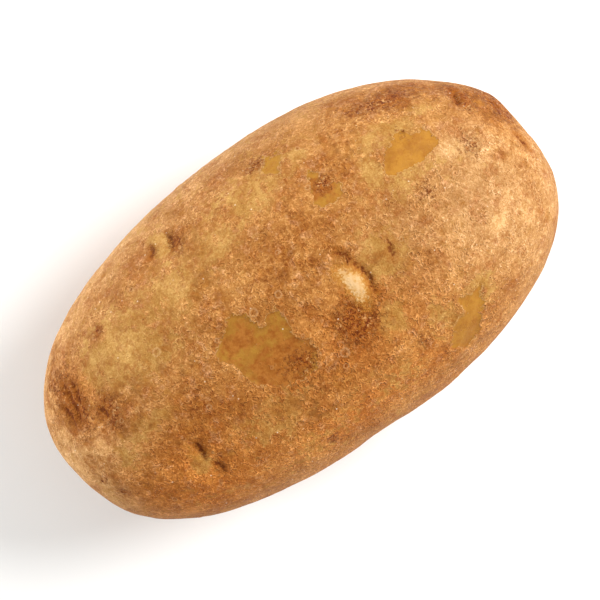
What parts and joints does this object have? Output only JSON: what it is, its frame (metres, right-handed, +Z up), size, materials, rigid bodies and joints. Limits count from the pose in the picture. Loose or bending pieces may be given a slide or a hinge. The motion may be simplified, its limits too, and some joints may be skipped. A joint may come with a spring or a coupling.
{
  "type": "potato",
  "caption": "Long oval potato with a netted brown skin, shallow eyes and scuffed patches, lying on a small flat on its underside.",
  "frame": {"origin": "on the surface that the tuber rests on, under the middle of its bounding box", "axes": "+X along the tuber to its broad end, +Y across its width, +Z up"},
  "size_m": [0.13, 0.0738, 0.0611],
  "materials": {
    "russet_skin": "matte, corky skin"
  },
  "bodies": {
    "root": {"tuber": "russet_skin"}
  },
  "joints": []
}
